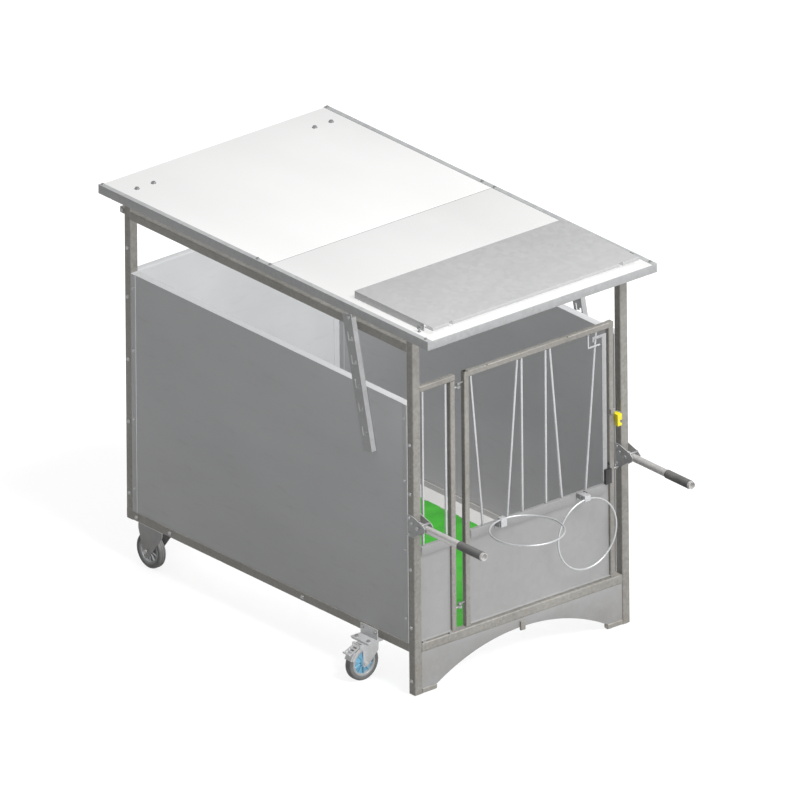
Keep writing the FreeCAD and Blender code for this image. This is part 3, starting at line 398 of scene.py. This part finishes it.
# %% Round every piece of the frame
tubes = ("front_posts", "rear_posts", "side_top_rails", "side_bottom_rails")
tubes += ("bottom_rail_front", "bottom_rail_rear")
small_tubes = ("gate_frame", "fixed_panel_frame")
boards = ("side_wall_left", "side_wall_right", "rear_wall", "floor_panels")
roof_boards = ("roof_panel_front", "roof_panel_rear")
remade = ("rear_wheel_left", "rear_wheel_right", "castor_wheel_left", "castor_wheel_right")
remade += ("handle_grip_left", "handle_grip_right")
radii = {node: 0.0030 for node in tubes}
radii.update({node: 0.0022 for node in small_tubes})
radii.update({node: 0.0015 for node in boards})
radii.update({node: 0.0040 for node in roof_boards})
radii.update({"latch_housing": 0.0015, "gate_catch_hook": 0.0020, "rear_buffers": 0.0020})
for node in sorted(set(nodes) - set(remade)):
    count = rounded_piece(node, radii.get(node, 0.0007))
    print(f"{node:24s} edges rounded {count}")

# %% [markdown]
# ## Wheels
# The castors and the fixed rear wheels are the same kind of wheel: a soft tyre with two tread grooves on a
# moulded rim, and a ribbed centre with a boss for the axle. A wheel is a shape of revolution, so its outline
# is drawn once, as a ring of points in a plane through the axle, and spun all the way round.

# %% Turning helper
def turned(name, outline, centre, axis, steps=72, start=0.0, sweep=math.tau):
    """Spins a closed outline of (radius, along) in millimetres round a level axis through a centre.

    A part of a turn starts at an angle from straight up and gets closed ends.
    """
    only(start_marker)
    bpy.ops.object.select_all(action="DESELECT")
    whole = abs(sweep) > math.tau - 0.001
    fill = "NOTHING" if whole else "NGON"
    bpy.ops.mesh.primitive_circle_add(vertices=len(outline), radius=0.1, fill_type=fill, location=(0, 0, 0))
    piece = bpy.context.object
    piece.name = name
    side = Matrix.Rotation(start, 3, axis) @ Vector((0, 0, 1))
    for point, (radius, along) in zip(piece.data.vertices, outline):
        point.co = centre + side * radius * MM + axis * along * MM
    bpy.ops.object.mode_set(mode="EDIT")
    bpy.ops.mesh.select_all(action="SELECT")
    bpy.ops.mesh.spin(steps=steps, angle=sweep, center=centre, axis=axis)
    bpy.ops.mesh.select_all(action="SELECT")
    bpy.ops.mesh.remove_doubles(threshold=SAME_SPUN_POINT)
    bpy.ops.mesh.normals_make_consistent(inside=False)
    bpy.ops.object.mode_set(mode="OBJECT")
    return piece


start_marker = bpy.data.objects.new("start_marker", bpy.data.meshes.new("start_marker"))
bpy.context.scene.collection.objects.link(start_marker)
print("turning helper ready")

# %% Outlines of a wheel
crown = [(59, 15), (62, 17), (68, 18), (73, 17), (76.2, 14), (77.5, 10.5), (78, 6.5), (77.9, 6), (76.4, 5.6)]
crown += [(76.4, 4.4), (77.9, 4)]
tyre_outline = crown + [(radius, -along) for radius, along in reversed(crown)]
rim_half = [(59.3, 15), (57.5, 16.6), (51, 16.6), (49, 15), (48, 13), (48, 5)]
rim_outline = rim_half + [(radius, -along) for radius, along in reversed(rim_half)]
centre_half = [(48.4, 4), (30, 4.5), (18, 7), (16.5, 17), (14, 17.6), (6.2, 17.6)]
centre_outline = centre_half + [(radius, -along) for radius, along in reversed(centre_half)]
print("tyre points", len(tyre_outline))


# %% Ribs of the wheel's centre
def ribbed(piece, centre, axis, count=10):
    """Adds thin radial ribs on both faces of a wheel's centre, and joins them to it."""
    ribs = []
    for number in range(count):
        turn = Matrix.Rotation(math.tau * number / count, 3, axis)
        outward = turn @ Vector((0, 0, 1))
        across = axis.cross(outward)
        bpy.ops.object.select_all(action="DESELECT")
        bpy.ops.mesh.primitive_cube_add(size=1, location=(0, 0, 0))
        rib = bpy.context.object
        bpy.ops.object.mode_set(mode="EDIT")
        bpy.ops.mesh.bevel(offset=0.06, offset_type="OFFSET", segments=2, affect="EDGES")
        bpy.ops.object.mode_set(mode="OBJECT")
        for point in rib.data.vertices:
            length, thick, deep = point.co.x * 33.5 + 31.5, point.co.y * 3.4, point.co.z * 25
            point.co = centre + (outward * length + across * thick + axis * deep) * MM
        only(rib)
        bpy.ops.object.mode_set(mode="EDIT")
        bpy.ops.mesh.select_all(action="SELECT")
        bpy.ops.mesh.normals_make_consistent(inside=False)
        bpy.ops.object.mode_set(mode="OBJECT")
        ribs.append(rib)
    only(piece, *ribs)
    bpy.ops.object.join()
    return piece


print("ribs ready")


# %% The four wheels
def wheel(node, centre_finish, rim_finish):
    """Tyre, rim and ribbed centre of one wheel."""
    low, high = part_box(node)
    centre = (low + high) / 2
    axis = Vector((1, 0, 0)) if "rear" in node else Vector((0, 1, 0))
    tyre = turned(f"{node}_tyre", tyre_outline, centre, axis)
    settle(tyre, node, "wheel_rubber")
    rim = turned(f"{node}_rim", rim_outline, centre, axis)
    hub = ribbed(turned(f"{node}_centre", centre_outline, centre, axis), centre, axis)
    for piece, finish in ((rim, rim_finish), (hub, centre_finish)):
        dress(piece, finish)
        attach(piece, body_of_node[node])
    print(node, "centre", [round(number, 3) for number in centre])


for side in ("left", "right"):
    wheel(f"castor_wheel_{side}", "hub_blue", "rim_light")
    wheel(f"rear_wheel_{side}", "hub_grey", "hub_grey")

# %% [markdown]
# ## Brake guards of the castors
# Over the outer half of each castor wheel lies a pressed guard that carries the brake, a channel bent round
# the tyre, with a flat flange on each side of it. Both are spun shapes that stop after part of a turn. The
# bent channel starts further out, because the brake pedal swings down over the rest.

# %% Guards
guard_channel = [(78.8, -19.2), (70, -19.2), (70, -21.2), (79.6, -21.2), (80.3, -20.5)]
guard_channel += [(radius, -along) for radius, along in reversed(guard_channel)]
near_flange = [(61, -21.2), (61, -19.2), (76, -19.2), (76, -21.2)]
far_flange = [(61, 19.2), (61, 21.2), (76, 21.2), (76, 19.2)]
CHANNEL_START = 40
GUARD_END = 70
for side, sign in (("left", -1), ("right", 1)):
    low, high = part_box(f"castor_wheel_{side}")
    centre = (low + high) / 2
    guards = []
    for outline, first in ((guard_channel, CHANNEL_START), (near_flange, 0), (far_flange, 0)):
        start, sweep = sign * math.radians(first), -sign * math.radians(GUARD_END - first)
        guards.append(turned(f"castor_guard_{side}", outline, centre, Vector((0, 1, 0)), 24, start, sweep))
    only(*guards)
    bpy.ops.object.join()
    guard = bpy.context.object
    dress(guard, "castor_steel", 40)
    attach(guard, f"castor_fork_{side}")
    print("guard", side, [round(number, 3) for number in centre])

# %% [markdown]
# ## Ribbed grips
# Each lifting handle ends in a rubber sleeve with fine ribs round it, so that a wet glove doesn't slip.
# The ribs are real steps in the outline, because their shadows are what tells rubber from paint here.

# %% Grips
def grip(node):
    """A rubber sleeve with ribs, turned round the handle's tube."""
    low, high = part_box(node)
    centre = (low + high) / 2
    half = (high.y - low.y) / 2 / MM
    outline = [(16.7, -half), (17.6, -half), (19.0, -half + 1.2), (19.0, -half + 7.0)]
    ribs = 22
    pitch = (2 * half - 16) / ribs
    for number in range(ribs):
        start = -half + 8 + pitch * number
        outline += [(17.9, start), (17.9, start + pitch * 0.30), (18.9, start + pitch * 0.48)]
        outline += [(18.9, start + pitch * 0.88)]
    outline += [(17.9, half - 8), (19.0, half - 7), (19.0, half - 1.2), (17.6, half), (16.7, half)]
    sleeve = turned(f"{node}_ribbed", outline, centre, Vector((0, 1, 0)), 48)
    settle(sleeve, node)
    print(node, "length", round(2 * half, 1), "mm")


for side in ("left", "right"):
    grip(f"handle_grip_{side}")

# %% [markdown]
# ## Weld beads
# Every rod of the gate and of the fixed panel is welded at both ends. A hand-made bead is a small uneven
# collar of overlapping ripples, duller than the zinc round it. One torus per joint, with its points pushed
# in and out a little by a seeded random number, gives that collar.

# %% Ends of the rods
END_RING = 0.0012


def rod_ends(node):
    """Middle points of the lowest and highest ring of each separate rod of a frame piece."""
    shape = bmesh.new()
    shape.from_mesh(nodes[node].data)
    bmesh.ops.remove_doubles(shape, verts=shape.verts, dist=SAME_POINT)
    ends = []
    left = set(shape.verts)
    while left:
        island, queue = [], [left.pop()]
        while queue:
            point = queue.pop()
            island.append(point.co.copy())
            for edge in point.link_edges:
                other = edge.other_vert(point)
                if other in left:
                    left.remove(other)
                    queue.append(other)
        lowest, highest = min(co.z for co in island), max(co.z for co in island)
        for level in (lowest, highest):
            ring = [co for co in island if abs(co.z - level) < END_RING]
            ends.append((sum(ring, Vector()) / len(ring), level == lowest))
    shape.free()
    return ends


random.seed(7)
COLLAR_RADIUS = 0.0058
BEAD_RADIUS = 0.0020
BEAD_LIFT = 0.0008
BEAD_SIDES = 8


def beads(name, node):
    """One joined piece with an uneven collar at each rod end."""
    made = []
    for place, lower in rod_ends(node):
        bpy.ops.object.select_all(action="DESELECT")
        bpy.ops.mesh.primitive_torus_add(
            major_segments=26, minor_segments=BEAD_SIDES,
            major_radius=COLLAR_RADIUS, minor_radius=BEAD_RADIUS, location=(0, 0, 0),
        )
        collar = bpy.context.object
        lift = BEAD_LIFT if lower else -BEAD_LIFT
        for number, point in enumerate(collar.data.vertices):
            ripple = 1 + 0.035 * math.sin(number // BEAD_SIDES * 1.9) + random.uniform(-0.02, 0.02)
            point.co = Vector((point.co.x * ripple, point.co.y * ripple, point.co.z + lift)) + place
        made.append(collar)
    only(*made)
    bpy.ops.object.join()
    bead = bpy.context.object
    bead.name = name
    dress(bead, "weld_zinc", 60)
    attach(bead, body_of_node[node])
    print(name, "collars", len(made))


beads("gate_welds", "gate_bars")
beads("fixed_panel_welds", "fixed_panel_bars")

# %% [markdown]
# ## Seal and painted shade in the roof joint
# Where the two roof panels meet, a soft black seal fills the groove and keeps the rain out. Its black is
# also painted shade for the groove, which the shadowless sun lights away. It is a thin strip with soft
# edges: a box with all its edges bevelled, sunk a hair below the tops of the panels.

# %% Roof seal and painted shade
SEAL_AND_SHADE_ACROSS = 0.0056
SEAL_AND_SHADE_THICK = 0.0016
SEAL_AND_SHADE_SUNK = 0.0021
SEAL_AND_SHADE_SHORTER = 0.045
SEAL_AND_SHADE_EDGE = 0.0006
HALF_JOINT = 0.0003
rear_low, rear_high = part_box("roof_panel_rear")
joint = Vector((0, rear_low.y - HALF_JOINT, rear_high.z))
width = rear_high.x - rear_low.x - SEAL_AND_SHADE_SHORTER
bpy.ops.object.select_all(action="DESELECT")
bpy.ops.mesh.primitive_cube_add(size=1, location=(0, 0, 0))
seal_and_shade = bpy.context.object
seal_and_shade.name = "roof_joint_seal_and_shade"
for point in seal_and_shade.data.vertices:
    x, y, z = point.co
    point.co = joint + Vector((x * width, y * SEAL_AND_SHADE_ACROSS, z * SEAL_AND_SHADE_THICK - SEAL_AND_SHADE_SUNK))
bpy.ops.object.mode_set(mode="EDIT")
bpy.ops.mesh.select_all(action="SELECT")
bpy.ops.mesh.bevel(offset=SEAL_AND_SHADE_EDGE, offset_type="OFFSET", segments=3, affect="EDGES")
bpy.ops.object.mode_set(mode="OBJECT")
# Black rubber: a real seal, and painted shade for the groove as well.
dress(seal_and_shade, "grip_rubber")
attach(seal_and_shade, "roof")
print("seal at", [round(number, 3) for number in joint])

bpy.data.objects.remove(start_marker)

# %% Light that the floor panels don't throw back
# The green panels would tint the pale boards strongly, so diffuse and glossy rays pass them by.
bpy.data.objects["floor_panels_made"].visible_diffuse = False
bpy.data.objects["floor_panels_made"].visible_glossy = False

# %% [markdown]
# ## Light, floor and camera
# A plain pale floor, two soft suns from high in front, and an even pale sky. One sun throws a faint shadow
# and the other none, so that the inside of the pen stays readable. The roof comes out brightest, the front
# next, and the left side, which only the sky lights, darkest.
# The studio floor throws no diffuse light up at the part, though it still shows in reflections. The camera is
# a parallel one, so that upright and receding edges keep their lengths.

# %% Studio
only(bpy.data.objects["floor_panels_made"])
bpy.ops.mesh.primitive_plane_add(size=60, location=(0, 0, 0))
floor = bpy.context.object
floor.name = "studio_floor"
paper = Finish("studio_floor")
paper.shade(base_color=paper.mix(paper.noise(0.8, 2), (0.90, 0.90, 0.90), (0.93, 0.93, 0.93)), roughness=0.9)
floor.data.materials.append(paper.material)
floor.visible_diffuse = False

sky = bpy.data.worlds.new("soft_sky")
sky.use_nodes = True
sky.node_tree.nodes["Background"].inputs["Color"].default_value = (1.0, 1.0, 1.0, 1.0)
sky.node_tree.nodes["Background"].inputs["Strength"].default_value = 0.25
bpy.context.scene.world = sky


def lamp(name, strength, direction, softness, shadow):
    """A sun of a strength, shining from a direction, with or without a shadow."""
    sun = bpy.data.lights.new(name, "SUN")
    sun.energy = strength
    sun.angle = math.radians(softness)
    sun.use_shadow = shadow
    sun.cycles.cast_shadow = shadow
    holder = bpy.data.objects.new(name, sun)
    holder.rotation_mode = "QUATERNION"
    holder.rotation_quaternion = Vector(direction).to_track_quat("Z", "Y")
    bpy.context.scene.collection.objects.link(holder)


FROM_FRONT = (0.10, -0.62, 0.78)
lamp("key", 1.2, FROM_FRONT, 26, True)
lamp("front_fill", 3.4, FROM_FRONT, 26, False)
print("floor and light ready")

# %% Camera
ROLL = math.radians(0.49)
VIEW_WIDTH = 3.2858
MIDDLE_LEFT = 0.50419
MIDDLE_UP = 1.06403
CAMERA_AWAY = 9
right = Vector((0.7705, -0.6374, 0.0))
up = Vector((0.2584, 0.3124, 0.9141))
to_camera = Vector((-0.5827, -0.7044, 0.4054))
turned_right = right * math.cos(ROLL) - up * math.sin(ROLL)
turned_up = right * math.sin(ROLL) + up * math.cos(ROLL)
front_corner = Vector((0.0, -0.769, 0.008))
middle = front_corner - MIDDLE_LEFT * turned_right + MIDDLE_UP * turned_up
view = bpy.data.cameras.new("camera")
view.type = "ORTHO"
view.ortho_scale = VIEW_WIDTH
view.clip_end = 60
camera = bpy.data.objects.new("camera", view)
turn = Matrix((turned_right, turned_up, to_camera)).transposed().to_4x4()
camera.matrix_world = Matrix.Translation(middle + to_camera * CAMERA_AWAY) @ turn
bpy.context.scene.collection.objects.link(camera)
bpy.context.scene.camera = camera
bpy.context.scene.view_settings.view_transform = "Standard"
print("camera at", [round(number, 3) for number in camera.location])
